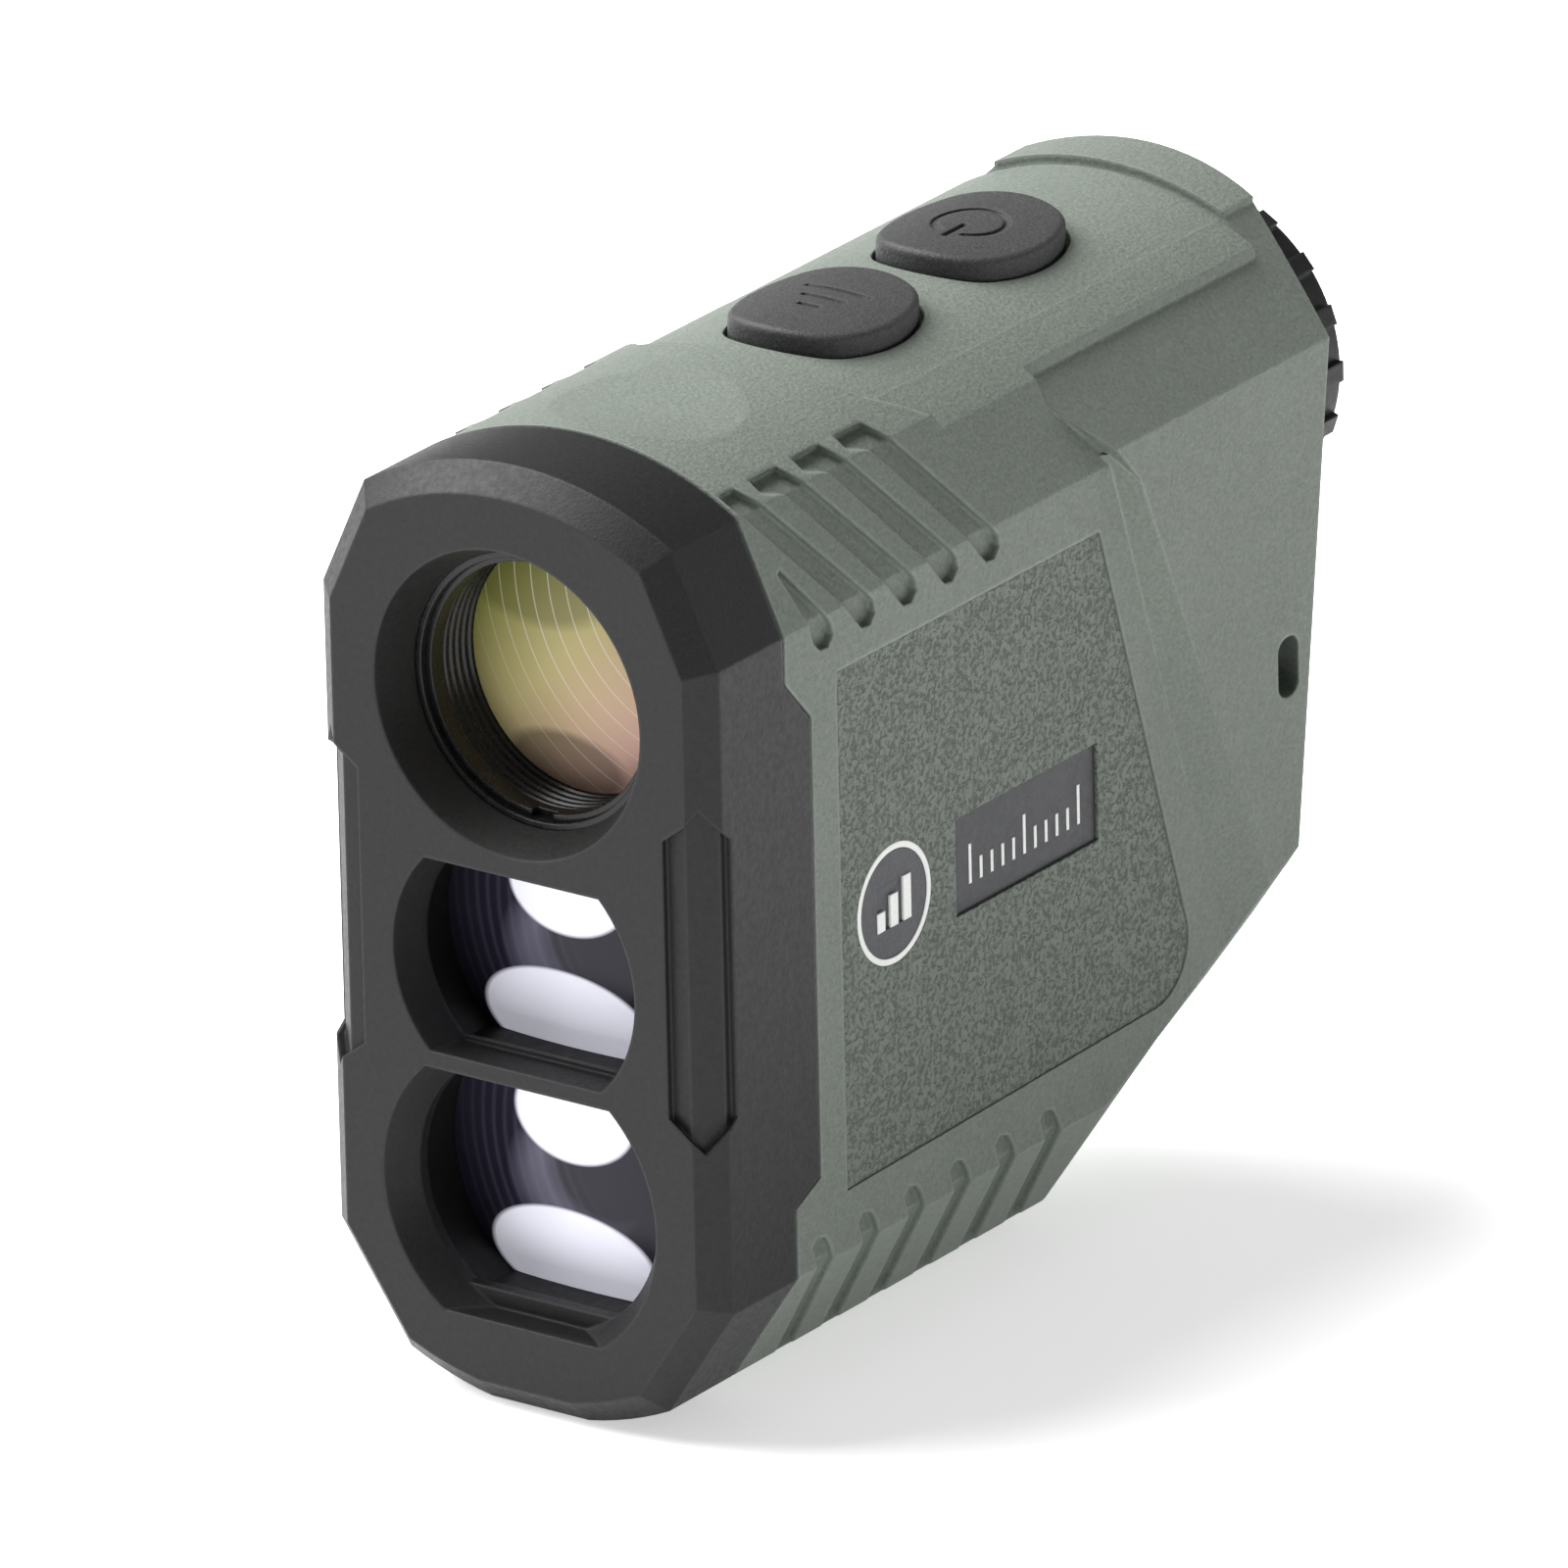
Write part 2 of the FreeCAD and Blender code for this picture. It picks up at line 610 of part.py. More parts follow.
def build_pads():
    """Pebbled grip inlay, round badge and nameplate on the right side, mirrored to the left."""
    face = "half_width - pad_sunk"
    floor = "half_width - pad_thick - pad_sunk"
    sheet_pad = side_slab("pad_sheet", pad_corners("0"), floor, face)
    badge_seat = post_along_x("badge_seat", "badge_radius", floor, "25")
    plate_seat = box("plate_seat", (floor, "25"), ("32", "50.7"), ("33.4", "41.3"))
    right = [cut("side_grip_pad_right", sheet_pad, badge_seat, plate_seat)]
    disc = post_along_x("badge_disc", "badge_radius - 0.5", floor, f"{face} - 0.05")
    mark = group("badge_mark_right", *[
        side_slab(f"badge_bar_{i}", [
            (f"badge_depth - 2.2 + {i*1.7}", "badge_z - 1.8"), (f"badge_depth - 1.2 + {i*1.7}", "badge_z - 1.8"),
            (f"badge_depth - 1.2 + {i*1.7}", f"badge_z - 0.2 + {i}"), (f"badge_depth - 2.2 + {i*1.7}", f"badge_z - 0.2 + {i}"),
        ], f"{face} - 0.2", f"{face} + 0.02") for i in range(3)])
    bars = side_slab("badge_bars_room", [
        ("badge_depth - 2.2", "badge_z - 1.8"), ("badge_depth + 2.2", "badge_z - 1.8"),
        ("badge_depth + 2.2", "badge_z + 1.8"), ("badge_depth - 2.2", "badge_z + 1.8"),
    ], f"{face} - 0.2", "25")
    right.append(cut("badge_right", disc, bars))
    right.append(mark)
    right.append(cut("badge_ring_right", post_along_x("badge_rim", "badge_radius", floor, face),
                     post_along_x("badge_rim_hole", "badge_radius - 0.5", "0", "25")))
    plate = box("plate_blank", (floor, f"{face} - 0.25"), ("32", "50.7"), ("33.4", "41.3"))
    scale = []
    seats = []
    for i in range(11):
        tall = 3.2 if i % 5 == 0 else 1.8
        depth = (f"{34 + 1.43*i}", f"{34.35 + 1.43*i}")
        scale.append(box(f"scale_mark_{i}", (f"{face} - 0.4", f"{face} - 0.22"), depth, ("35.4", f"{35.4 + tall}")))
        seats.append(box(f"scale_seat_{i}", (f"{face} - 0.4", "25"), depth, ("35.4", f"{35.4 + tall}")))
    right.append(cut("nameplate_right", plate, *seats))
    right.append(group("nameplate_scale_right", *scale))
    keep(*right)
    keep(*[mirrored(piece.Name.replace("_right", "_left"), piece) for piece in right])


def post_along_x(name, radius, low, high):
    """Cylinder along X at the badge."""
    solid = doc.addObject("Part::Cylinder", name)
    solid.Placement = Placement(Vector(), Rotation(ALONG_Y, 90))
    bind(solid, "Radius", radius)
    bind(solid, "Height", f"({high}) - ({low})")
    bind(solid, "Placement.Base.x", low)
    bind(solid, "Placement.Base.y", deep("badge_depth"))
    bind(solid, "Placement.Base.z", "badge_z")
    return solid


# ---------------------------------------------------------------- buttons

def key_shape(name, depth, grow, low, high):
    """Bowed rectangle with rounded corners, upright."""
    side = f"(button_width/2 - 1.65 + {grow})"
    end = f"(button_length/2 - 1.65 + {grow})"
    blank = top_slab(name + "_blank", [
        (f"-{side}", f"{depth} - {end}", f"7.95 + {grow}"), (side, f"{depth} - {end}", f"11 + {grow}"),
        (side, f"{depth} + {end}", f"7.95 + {grow}"), (f"-{side}", f"{depth} + {end}", f"11 + {grow}"),
    ], low, high)
    upright = lambda edge: abs(edge.tangentAt(edge.FirstParameter).z) > 0.99
    return softened(name, blank, "Fillet", f"4 + {grow}", upright)


def key(name, depth, icon):
    """Push button with crowned top, retaining tabs and a socket for the return sleeve."""
    blank = key_shape(name + "_stem", depth, "0", "button_floor", "79")
    crown = rod(name + "_crown", "top_arc + button_proud", "30", "75", "shell_top - top_arc")
    crowned = common(name + "_crowned", blank, crown)
    at_top = lambda edge: all(v.Z > value("button_floor + 2") for v in edge.Vertexes)
    smooth = softened(name + "_smooth", crowned, "Fillet", "0.5", at_top)
    tabs = box(name + "_tabs", ("-3", "3"),
               (f"{depth} - button_length/2 - 1", f"{depth} + button_length/2 + 1"),
               ("button_floor", "button_floor + 0.8"))
    socket = post(name + "_socket", "3.2", "0", depth, "button_floor - 1", "74.6")
    return cut(name, join(name + "_solid", smooth, tabs), socket, icon)


def power_icon():
    floor = "shell_top + button_proud - 0.3"
    circle = cut("power_circle", post("power_circle_out", "3.05", "0", "power_depth", floor, "79"),
                 post("power_circle_in", "2.55", "0", "power_depth", floor, "79"),
                 box("power_gap", ("-0.9", "0.9"), ("power_depth - 4", "power_depth - 1"), (floor, "79")))
    stroke = box("power_stroke", ("-0.25", "0.25"), ("power_depth - 3.6", "power_depth - 0.6"), (floor, "79"))
    return join("power_icon", circle, stroke)


def mode_icon():
    """Three stepped bars."""
    floor = "shell_top + button_proud - 0.3"
    return join("mode_icon", *[
        box(f"mode_bar_{i}", (f"-{1 + i}", f"{1 + i}"),
            (f"mode_depth - 2.1 + {1.9*i}", f"mode_depth - 1.6 + {1.9*i}"), (floor, "79"))
        for i in range(3)])


def build_buttons():
    keep(key("power_button", "power_depth", power_icon()))
    keep(key("mode_button", "mode_depth", mode_icon()))
    for name in ("power", "mode"):
        depth = name + "_depth"
        keep(post(name + "_plunger", "1.2", "0", depth, "70.75", "74.6"))
        keep(cut(name + "_return_sleeve",
                 post(name + "_sleeve_out", "3", "0", depth, "core_top", "74.6"),
                 post(name + "_sleeve_in", "1.9", "0", depth, "core_top - 1", "75")))
        keep(box(name + "_switch", ("-2.4", "2.4"), (f"{depth} - 2.4", f"{depth} + 2.4"), ("68.7", "70")))
    keep(box("switch_board", ("-5", "5"), ("37", "66"), ("67.9", "68.7")))


# ---------------------------------------------------------------- rigid housing

def build_housing():
    outer = core_block("housing_outer", "0", "bezel_depth + gasket_thick - 6")
    cavity = core_block("housing_cavity", "wall", "1")
    hollow = cut("housing_shell", outer, cavity,
                 rod("housing_eye_hole", "eye_tube_radius", "55", "95", "eye_axis"),
                 rod("housing_battery_hole", "battery_tube_radius", "60", "90", "battery_axis"),
                 post("power_plunger_hole", "1.3", "0", "power_depth", "69", "74"),
                 post("mode_plunger_hole", "1.3", "0", "mode_depth", "69", "74"))
    keep(common("housing_right", hollow, box("right_half", ("0", "30"), ("0", "93"), ("0", "80"))))
    keep(common("housing_left", hollow, box("left_half", ("-30", "0"), ("0", "93"), ("0", "80"))))


# ---------------------------------------------------------------- optics

def dome_lens(name, blank, curve, vertex, axis):
    """Lens with a convex front face."""
    return common(name, blank, ball(name + "_curve", curve, f"{vertex} + {curve}", axis))


def build_objective():
    keep(ring("objective_barrel", "lens_bore", "barrel_radius", "3.6", "30", "eye_axis"))
    holder = ring("ring_blank", "9.95", "lens_bore", "4.25", "5.8", "eye_axis")
    notch = box("ring_notch", ("-1", "1"), ("4", "5"), ("eye_axis - 11.5", "eye_axis - 9.8"))
    keep(cut("objective_retaining_ring", holder, notch))
    ridges = [("10.3", "5.8")]
    ridges.append(("lens_bore", "5.8"))
    ridges.append(("lens_bore", "9.8"))
    for i in range(5):
        ridges.append(("10.07", f"{9.8 - 0.8*i}"))
        ridges.append(("10.07", f"{9.5 - 0.8*i}"))
        if i < 4:
            ridges.append(("10.3", f"{9.3 - 0.8*i}"))
    keep(turned("objective_spacer", ridges[:-1] + [("10.07", "6.3"), ("10.3", "6.1")], "eye_axis"))
    blank = rod("front_lens_blank", "lens_bore", "8", "13.2", "eye_axis")
    lens = dome_lens("front_lens_dome", blank, "45", "8.62", "eye_axis")
    keep(cut("objective_front_lens", lens, ring("lens_edge_relief", "10.06", "12", "7", "9.81", "eye_axis")))
    keep(rod("objective_rear_lens", "lens_bore", "13.3", "16", "eye_axis"))


def build_prisms():
    keep(cut("prism_holder",
             box("holder_outer", ("-9.8", "9.8"), ("33", "55"), ("46.4", "67.9")),
             box("holder_inner", ("-8.3", "8.3"), ("32", "56"), ("47.7", "66.6"))))
    keep(side_slab("half_prism", [("34.2", "47.7"), ("46.9", "47.7"), ("37.6", "64.8"), ("34.2", "64.8")],
                   "-8.3", "8.3"))
    keep(side_slab("roof_prism", [("47.8", "47.7"), ("54", "47.7"), ("54", "66.6"), ("37.5", "66.6")],
                   "-8.3", "8.3"))
    keep(box("lcd_display", ("-8", "8"), ("55", "56.2"), ("48", "66.4")))


def build_eyepiece():
    keep(ring("eyepiece_tube", "eye_tube_radius - 1", "eye_tube_radius", "67", "86.5", "eye_axis"))
    keep(ring("field_stop", "6", "eye_tube_radius - 1", "67.5", "68.5", "eye_axis"))
    sleeve = "eye_tube_radius - 1 - running_fit"
    keep(turned("ocular_cell", [
        ("7.6", "70"), (sleeve, "70"), (sleeve, "84.5"), ("8.6", "84.5"), ("8.6", "71.2"), ("7.6", "71.2"),
    ], "eye_axis"))
    keep(rod("field_lens", "8.6", "71.2", "74.2", "eye_axis"))
    keep(dome_lens("eye_lens", rod("eye_lens_blank", "8.6", "74.2", "82.8", "eye_axis"), "30", "75", "eye_axis"))
    keep(ring("ocular_retainer", "7.6", "8.6", "82.8", "84.3", "eye_axis"))
    body = turned("dioptre_ring_body", [
        ("eye_tube_radius + running_fit", "82.5"), ("ring_radius - 0.3", "82.5"), ("ring_radius", "82.9"),
        ("ring_radius", "92"), ("ring_radius - 0.4", "92.4"), ("11.7", "92.4"), ("11.7", "89"),
        ("9.4", "89"), ("9.4", "88"), ("eye_tube_radius + running_fit", "88"),
    ], "eye_axis")
    lugs = []
    axis = Vector(0, 0, value("eye_axis"))
    for i in range(round(value("lug_count"))):
        lug = doc.addObject("Part::Box", f"ring_lug_{i}")
        bind(lug, "Length", "1.6")
        bind(lug, "Width", "8.2")
        bind(lug, "Height", "lug_height + 0.5")
        turn = Rotation(ALONG_Y, 360 / value("lug_count") * i + 10)
        offset = Vector(-0.8, value(deep("83.4")), value("ring_radius") - 0.5)
        lug.Placement = Placement(axis, turn) * Placement(offset, Rotation())
        lugs.append(lug)
    keep(join("dioptre_ring", body, *lugs))
    keep(turned("eyecup", [
        ("8.6", "89"), ("11.7", "89"), ("11.7", "92.6"), ("11.2", "93"), ("9.6", "93"), ("8.6", "91.4"),
    ], "eye_axis"))


# ---------------------------------------------------------------- laser

def d_cut(name, radius, low, high, start, end, axis):
    """Disc along Y cut flat at the heights low and high."""
    disc = rod(name + "_disc", radius, start, end, axis)
    flats = box(name + "_flats", ("-20", "20"), (f"{start} - 1", f"{end} + 1"), (low, high))
    return common(name, disc, flats)


def laser_corners():
    return both_sides([("9.2", "5.6"), ("13.9", "12.8"), ("13.9", "44.9")])


def build_laser():
    block = front_slab("frame_block", laser_corners(), "3.6", "12.6")
    wells = []
    seats = (("receiver", "middle_axis", "26.9", "44.1"), ("emitter", "lower_axis", "7.2", "26.2"))
    for name, axis, low, high in seats:
        wells.append(d_cut(name + "_well", "12.5", low, high, "3", "11.6", axis))
        wells.append(d_cut(name + "_shelf", "11.2", f"{low} + 0.8", f"{high} - 0.8", "11", "13", axis))
        blank = d_cut(name + "_blank", "12.45", f"{low} + 0.05", f"{high} - 0.05", "6.4", "11.6", axis)
        keep(dome_lens(name + "_lens", blank, "60", "7.6", axis))
    keep(cut("laser_lens_frame", block, *wells))
    tunnel = front_slab("chamber_block", laser_corners(), "12.6", "42")
    upper = box("upper_chamber", ("-12.6", "12.6"), ("12", "43"), ("27.2", "43.6"))
    lower = box("lower_chamber", ("-9.6", "9.6"), ("12", "43"), ("8", "26"))
    drill = [rod_at(f"board_hole_{i}", "0.7", x, "38", "43", z) for i, (x, z) in enumerate(BOARD_SCREWS)]
    keep(cut("laser_chamber", tunnel, upper, lower, *drill))
    board = front_slab("laser_board_blank", laser_corners(), "42", "43.2")
    drill = [rod_at(f"board_drill_{i}", "0.7", x, "41", "44", z) for i, (x, z) in enumerate(BOARD_SCREWS)]
    keep(cut("laser_board", board, *drill))
    screws = []
    for i, (x, z) in enumerate(BOARD_SCREWS):
        shank = rod_at(f"board_shank_{i}", "0.7", x, "38.5", "43.3", z)
        head = rod_at(f"board_head_{i}", "1.3", x, "43.2", "44.2", z)
        screws.append(join(f"board_screw_{i}", shank, head))
    keep(group("laser_board_screws", *screws))
    keep(rod("laser_diode", "2.8", "38.4", "42", "lower_axis"))
    keep(rod("photodiode", "2.3", "39.6", "42", "middle_axis"))


BOARD_SCREWS = [("-11.6", "12.2"), ("11.6", "12.2"), ("-11.4", "25.2"), ("11.4", "25.2")]


def rod_at(name, radius, x, start, end, z):
    solid = rod(name, radius, start, end, z)
    bind(solid, "Placement.Base.x", x)
    return solid


# ---------------------------------------------------------------- power supply

def build_electronics():
    keep(box("main_board", ("-13.6", "-12.6"), ("46", "70"), ("24", "60")))
    keep(group("main_board_chips",
               box("processor", ("-12.6", "-11.5"), ("49", "57"), ("42", "50")),
               box("memory", ("-12.6", "-11.7"), ("60", "65"), ("38", "42")),
               box("regulator", ("-12.6", "-11.6"), ("51", "55"), ("27", "31"))))
    keep(group("board_standoffs",
               box("standoff_front", ("-(core_half - wall)", "-13.6"), ("47", "49"), ("26", "58")),
               box("standoff_rear", ("-(core_half - wall)", "-13.6"), ("67", "69"), ("26", "58"))))


def build_battery():
    keep(turned("battery_tube", [
        ("cell_radius + 0.3", "46"), ("cell_radius + 0.3", "76"), ("battery_tube_radius", "76"),
        ("battery_tube_radius", "45"), ("0", "45"), ("0", "46"),
    ][::-1], "battery_axis"))
    keep(rod("positive_contact", "3", "46", "46.8", "battery_axis"))
    keep(rod("battery_cell", "cell_radius", "46.8", "73", "battery_axis"))
    blank = turned("cap_blank", [
        ("0", "73.9"), ("cell_radius + 0.25", "73.9"), ("cell_radius + 0.25", "74.4"),
        ("cell_radius - 0.5", "74.4"), ("cell_radius - 0.5", "75.4"),
        ("cell_radius + 0.25", "75.4"), ("cell_radius + 0.25", "76.1"), ("cap_radius", "76.1"),
        ("cap_radius", "79"), ("cap_radius - 0.6", "79.6"), ("0", "79.6"),
    ], "battery_axis")
    slot = box("coin_slot", ("-6.5", "6.5"), ("78.2", "81"), ("battery_axis - 0.9", "battery_axis + 0.9"))
    keep(cut("battery_cap", blank, slot))
    keep(ring("cap_seal", "cell_radius - 0.5", "cell_radius + 0.25", "74.4", "75.4", "battery_axis"))
    keep(cut("cap_contact_spring",
             rod("contact_disc", "5", "73.1", "73.8", "battery_axis"),
             rod("contact_hole", "2.5", "72", "75", "battery_axis")))


# ---------------------------------------------------------------- assembly

def problems():
    """Names of objects that failed, and of sub-parts without a sound shape."""
    failed = [o.Name for o in doc.Objects if "Invalid" in o.State or "Error" in o.State]
    for node in nodes:
        shape = node.Shape
        if shape.isNull() or not shape.isValid() or not shape.Solids:
            failed.append(node.Name)
    return failed


def write_steps():
    os.makedirs("parts", exist_ok=True)
    for node in nodes:
        node.Label = node.Name
        node.Shape.exportStep(os.path.join("parts", node.Label + ".step"))


build_bezel()
build_armour()
build_pads()
build_buttons()
build_housing()
build_objective()
build_prisms()
build_eyepiece()
build_laser()
build_electronics()
build_battery()
doc.recompute()
broken = problems()
if broken:
    raise RuntimeError("unsound: " + ", ".join(broken))
write_steps()
print(len(nodes), "sub-parts written")
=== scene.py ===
import json
import math

import bpy
from mathutils import Matrix, Vector


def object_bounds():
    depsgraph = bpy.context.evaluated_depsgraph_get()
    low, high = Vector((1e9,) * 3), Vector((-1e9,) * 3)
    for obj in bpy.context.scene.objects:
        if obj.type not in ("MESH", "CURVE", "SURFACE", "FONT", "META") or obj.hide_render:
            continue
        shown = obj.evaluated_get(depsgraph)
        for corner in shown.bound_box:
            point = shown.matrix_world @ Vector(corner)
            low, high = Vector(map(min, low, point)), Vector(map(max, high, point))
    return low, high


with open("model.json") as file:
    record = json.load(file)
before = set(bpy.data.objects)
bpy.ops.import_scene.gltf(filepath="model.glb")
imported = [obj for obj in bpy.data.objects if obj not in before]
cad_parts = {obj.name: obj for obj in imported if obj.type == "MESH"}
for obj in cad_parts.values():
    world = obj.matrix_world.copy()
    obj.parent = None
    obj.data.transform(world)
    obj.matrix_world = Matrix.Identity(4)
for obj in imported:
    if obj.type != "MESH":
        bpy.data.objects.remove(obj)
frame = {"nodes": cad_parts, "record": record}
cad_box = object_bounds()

CENTRE = (cad_box[0] + cad_box[1]) / 2
MM = 0.001
BROAD_PIECES = ("armour_sleeve", "front_bezel")
BROAD_SPLIT = 15
FINE_SPLIT = 28
SOFT_SPECULAR = 0.25

# Heights of the three lens axes in mm, as in the CAD.
OBJECTIVE_AXIS = 57.32
RECEIVER_AXIS = 35.82
EMITTER_AXIS = 17.38


# ---------------------------------------------------------------- camera, lights, floor

def toward(azimuth, elevation):
    """Direction from the object to a viewer or light; azimuth 0 is the front."""
    return Vector((math.sin(azimuth) * math.cos(elevation),
                   -math.cos(azimuth) * math.cos(elevation), math.sin(elevation)))


def add_camera():
    """A long lens from far off, at the photograph's angle."""
    azimuth, elevation, roll = (math.radians(a) for a in (35.713, 21.484, -1.289))
    distance = 2.0564
    aim = CENTRE + Vector((5.23, -18.6, 4.6)) * MM
    back = toward(azimuth, elevation)
    level = Vector((math.cos(azimuth), math.sin(azimuth), 0))
    upright = back.cross(level)
    right = level * math.cos(roll) + upright * math.sin(roll)
    up = upright * math.cos(roll) - level * math.sin(roll)
    data = bpy.data.cameras.new("camera")
    data.sensor_width = 36
    data.lens = 627.75
    data.clip_start = 0.1
    data.clip_end = 50
    camera = bpy.data.objects.new("camera", data)
    bpy.context.scene.collection.objects.link(camera)
    turn = Matrix((right, up, back)).transposed().to_4x4()
    camera.matrix_world = Matrix.Translation(aim + back * distance) @ turn
    bpy.context.scene.camera = camera


def add_sun(azimuth, elevation, spread, strength):
    """Very wide, soft light from one side of the sky, with its angles in degrees."""
    data = bpy.data.lights.new("key", "SUN")
    data.angle = math.radians(spread)
    data.energy = strength
    light = bpy.data.objects.new("key", data)
    bpy.context.scene.collection.objects.link(light)
    back = toward(math.radians(azimuth), math.radians(elevation))
    light.rotation_mode = "QUATERNION"
    light.rotation_quaternion = (-back).to_track_quat("-Z", "Y")


def add_world(strength):
    """Even white light from everywhere."""
    world = bpy.data.worlds.new("studio")
    world.use_nodes = True
    background = world.node_tree.nodes["Background"]
    background.inputs["Color"].default_value = (1, 1, 1, 1)
    background.inputs["Strength"].default_value = strength
    bpy.context.scene.world = world


def add_floor():
    """A wide matt floor that glows a little, so that it renders nearly white."""
    half = 6.0
    mesh = bpy.data.meshes.new("floor")
    corners = [(-half, -half, 0), (half, -half, 0), (half, half, 0), (-half, half, 0)]
    mesh.from_pydata(corners, [], [(0, 1, 2, 3)])
    floor = bpy.data.objects.new("floor", mesh)
    bpy.context.scene.collection.objects.link(floor)
    n = Nodes("floor")
    n.surface((0.92, 0.92, 0.92), 0.9, Emission_Color=(1, 1, 1), Emission_Strength=0.52)
    mesh.materials.append(n.material)


# ---------------------------------------------------------------- materials

class Nodes:
    """Short ways to build one material's node tree. Edges look rounded to the corner radius, in mm."""

    def __init__(self, name, corner=0.2):
        self.material = bpy.data.materials.new(name)
        self.material.use_nodes = True
        self.tree = self.material.node_tree
        self.shader = self.tree.nodes["Principled BSDF"]
        self.place = self.add("ShaderNodeTexCoord").outputs["Object"]
        bevel = self.add("ShaderNodeBevel", samples=4)
        bevel.inputs["Radius"].default_value = corner * MM
        self.rounded = bevel.outputs["Normal"]

    def add(self, kind, **values):
        node = self.tree.nodes.new(kind)
        for key, value in values.items():
            setattr(node, key, value)
        return node

    def feed(self, socket, value):
        """Link a socket's output, or set a plain value."""
        if isinstance(value, bpy.types.NodeSocket):
            self.tree.links.new(value, socket)
        elif isinstance(value, tuple) and len(value) == 3 and len(socket.default_value) == 4:
            socket.default_value = (*value, 1)
        else:
            socket.default_value = value

    def noise(self, per_mm, detail=2.0, rough=0.5, twist=0.0):
        node = self.add("ShaderNodeTexNoise")
        self.feed(node.inputs["Vector"], self.place)
        node.inputs["Scale"].default_value = per_mm * 1000
        node.inputs["Detail"].default_value = detail
        node.inputs["Roughness"].default_value = rough
        node.inputs["Distortion"].default_value = twist
        return node.outputs["Fac"]

    def cell_borders(self, per_mm):
        """Distance from the border between two cells."""
        node = self.add("ShaderNodeTexVoronoi", feature="DISTANCE_TO_EDGE")
        self.feed(node.inputs["Vector"], self.place)
        node.inputs["Scale"].default_value = per_mm * 1000
        return node.outputs["Distance"]

    def ramp(self, value, low, high, start=0.0, end=1.0):
        """Remap low..high to start..end, clamped."""
        node = self.add("ShaderNodeMapRange")
        self.feed(node.inputs["Value"], value)
        for key, number in (("From Min", low), ("From Max", high), ("To Min", start), ("To Max", end)):
            node.inputs[key].default_value = number
        return node.outputs["Result"]

    def math(self, kind, a, b=0.0):
        node = self.add("ShaderNodeMath", operation=kind)
        self.feed(node.inputs[0], a)
        self.feed(node.inputs[1], b)
        return node.outputs[0]

    def mix(self, factor, a, b):
        node = self.add("ShaderNodeMix", data_type="RGBA")
        self.feed(node.inputs[0], factor)
        self.feed(node.inputs[6], a)
        self.feed(node.inputs[7], b)
        return node.outputs[2]

    def axis(self, name):
        node = self.add("ShaderNodeSeparateXYZ")
        self.feed(node.inputs[0], self.place)
        return node.outputs[name]

    def edges(self):
        """White where the rounded normal turns away from the face: along edges and creases, where
        highlights are painted.
        """
        face = self.add("ShaderNodeNewGeometry").outputs["Normal"]
        turn = self.add("ShaderNodeVectorMath", operation="DOT_PRODUCT")
        self.feed(turn.inputs[0], self.rounded)
        self.feed(turn.inputs[1], face)
        return self.ramp(turn.outputs["Value"], 0.992, 0.93)

    def bump(self, height, depth_mm, strength=1.0, below=None):
        node = self.add("ShaderNodeBump")
        node.inputs["Strength"].default_value = strength
        node.inputs["Distance"].default_value = depth_mm * MM
        self.feed(node.inputs["Height"], height)
        self.feed(node.inputs["Normal"], self.rounded if below is None else below)
        return node.outputs["Normal"]

    def surface(self, colour, rough, metal=0.0, normal=None, **others):
        """Fill in the shader; others are further sockets, with _ for a space in their names."""
        self.feed(self.shader.inputs["Base Color"], colour)
        self.feed(self.shader.inputs["Roughness"], rough)
        self.shader.inputs["Metallic"].default_value = metal
        self.feed(self.shader.inputs["Normal"], self.rounded if normal is None else normal)
        for key, value in others.items():
            self.feed(self.shader.inputs[key.replace("_", " ")], value)
        return self.material


def grained(name, dark, light, per_mm, depth, rough, edge_highlight=None, speck=0.0, corner=0.2):
    """Moulded rubber or plastic: fine grain, cloudy colour, pale specks where asked for, and painted
    highlights along edges where asked for.

    per_mm is how fine the grain is, depth how deep it looks in mm.
    """
    n = Nodes(name, corner)
    grain = n.noise(per_mm, 3.0, 0.6)
    cloud = n.noise(0.06, 2.0)
    fine = n.math("MULTIPLY", n.ramp(grain, 0.3, 0.7), 0.65)
    shade = n.math("ADD", fine, n.math("MULTIPLY", cloud, 0.35))
    colour = n.mix(shade, dark, light)
    if speck:
        dots = n.ramp(n.noise(per_mm * 2.2, 1.0), 0.66, 0.72)
        colour = n.mix(n.math("MULTIPLY", dots, speck), colour, tuple(min(1, c * 2.2) for c in light))
    # Painted highlight: a lighter colour along edges and creases, where rounded corners catch the light.
    if edge_highlight:
        colour = n.mix(n.math("MULTIPLY", n.edges(), 0.55), colour, edge_highlight)
    polish = n.ramp(n.noise(per_mm * 0.5), 0.3, 0.7, rough - 0.06, rough + 0.06)
    return n.surface(colour, polish, normal=n.bump(grain, depth, 0.8), Specular_IOR_Level=SOFT_SPECULAR)


def pebbled(name, dark, mid, light):
    """Leather-like inlay with small dark pits between flat pebbles."""
    n = Nodes(name)
    pits = n.noise(2.4, 2.5, 0.6, 0.5)
    flat = n.ramp(pits, 0.38, 0.54)
    fine = n.noise(6.0, 2.0)
    tone = n.mix(n.ramp(fine, 0.3, 0.7), mid, light)
    colour = n.mix(flat, dark, tone)
    low = n.bump(fine, 0.02, 0.5)
    return n.surface(colour, n.ramp(flat, 0, 1, 0.85, 0.66), normal=n.bump(flat, 0.10, 0.9, low),
                     Specular_IOR_Level=SOFT_SPECULAR)


def metal(name, dark, light, rough, metallic=1.0):
    """Plated or anodised metal, faintly mottled."""
    n = Nodes(name)
    mottle = n.noise(1.2, 4.0, 0.7)
    return n.surface(n.mix(mottle, dark, light), n.ramp(mottle, 0.2, 0.8, rough - 0.05, rough + 0.08),
                     metal=metallic, normal=n.bump(mottle, 0.004, 0.4))


